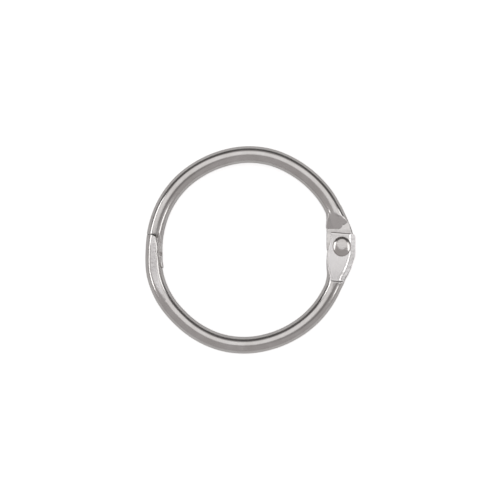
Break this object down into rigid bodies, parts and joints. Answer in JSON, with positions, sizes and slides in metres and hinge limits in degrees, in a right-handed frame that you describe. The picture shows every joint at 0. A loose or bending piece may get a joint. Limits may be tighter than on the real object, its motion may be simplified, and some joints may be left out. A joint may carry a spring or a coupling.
{
  "type": "binder ring",
  "caption": "Hinged metal wire ring for loose punched sheets, with a riveted fork hinge on one side and a lapped snap closure opposite.",
  "frame": {"origin": "centre of the lying ring's outline, on the surface that the lower rivet head rests on", "axes": "+Z along the ring's axis, up; +X from the snap closure to the hinge; +Y towards the half ring whose tongue turns in the fork"},
  "size_m": [0.0312, 0.0308, 0.0031],
  "materials": {
    "upper_half_ring": "bright nickel plate over steel wire",
    "lower_half_ring": "bright nickel plate over steel wire, rough where pressed flat",
    "rivet": "satin nickel plate"
  },
  "bodies": {
    "lower_half": {"lower_half_ring": "lower_half_ring", "rivet": "rivet"},
    "upper_half": {"upper_half_ring": "upper_half_ring"}
  },
  "joints": [
    {"name": "ring_hinge", "type": "hinge", "parent": "lower_half", "child": "upper_half", "pos_m": [0.01352, 0.0005, 0.00157], "axis": [0, 0, -1], "range_deg": [0, 105]}
  ]
}
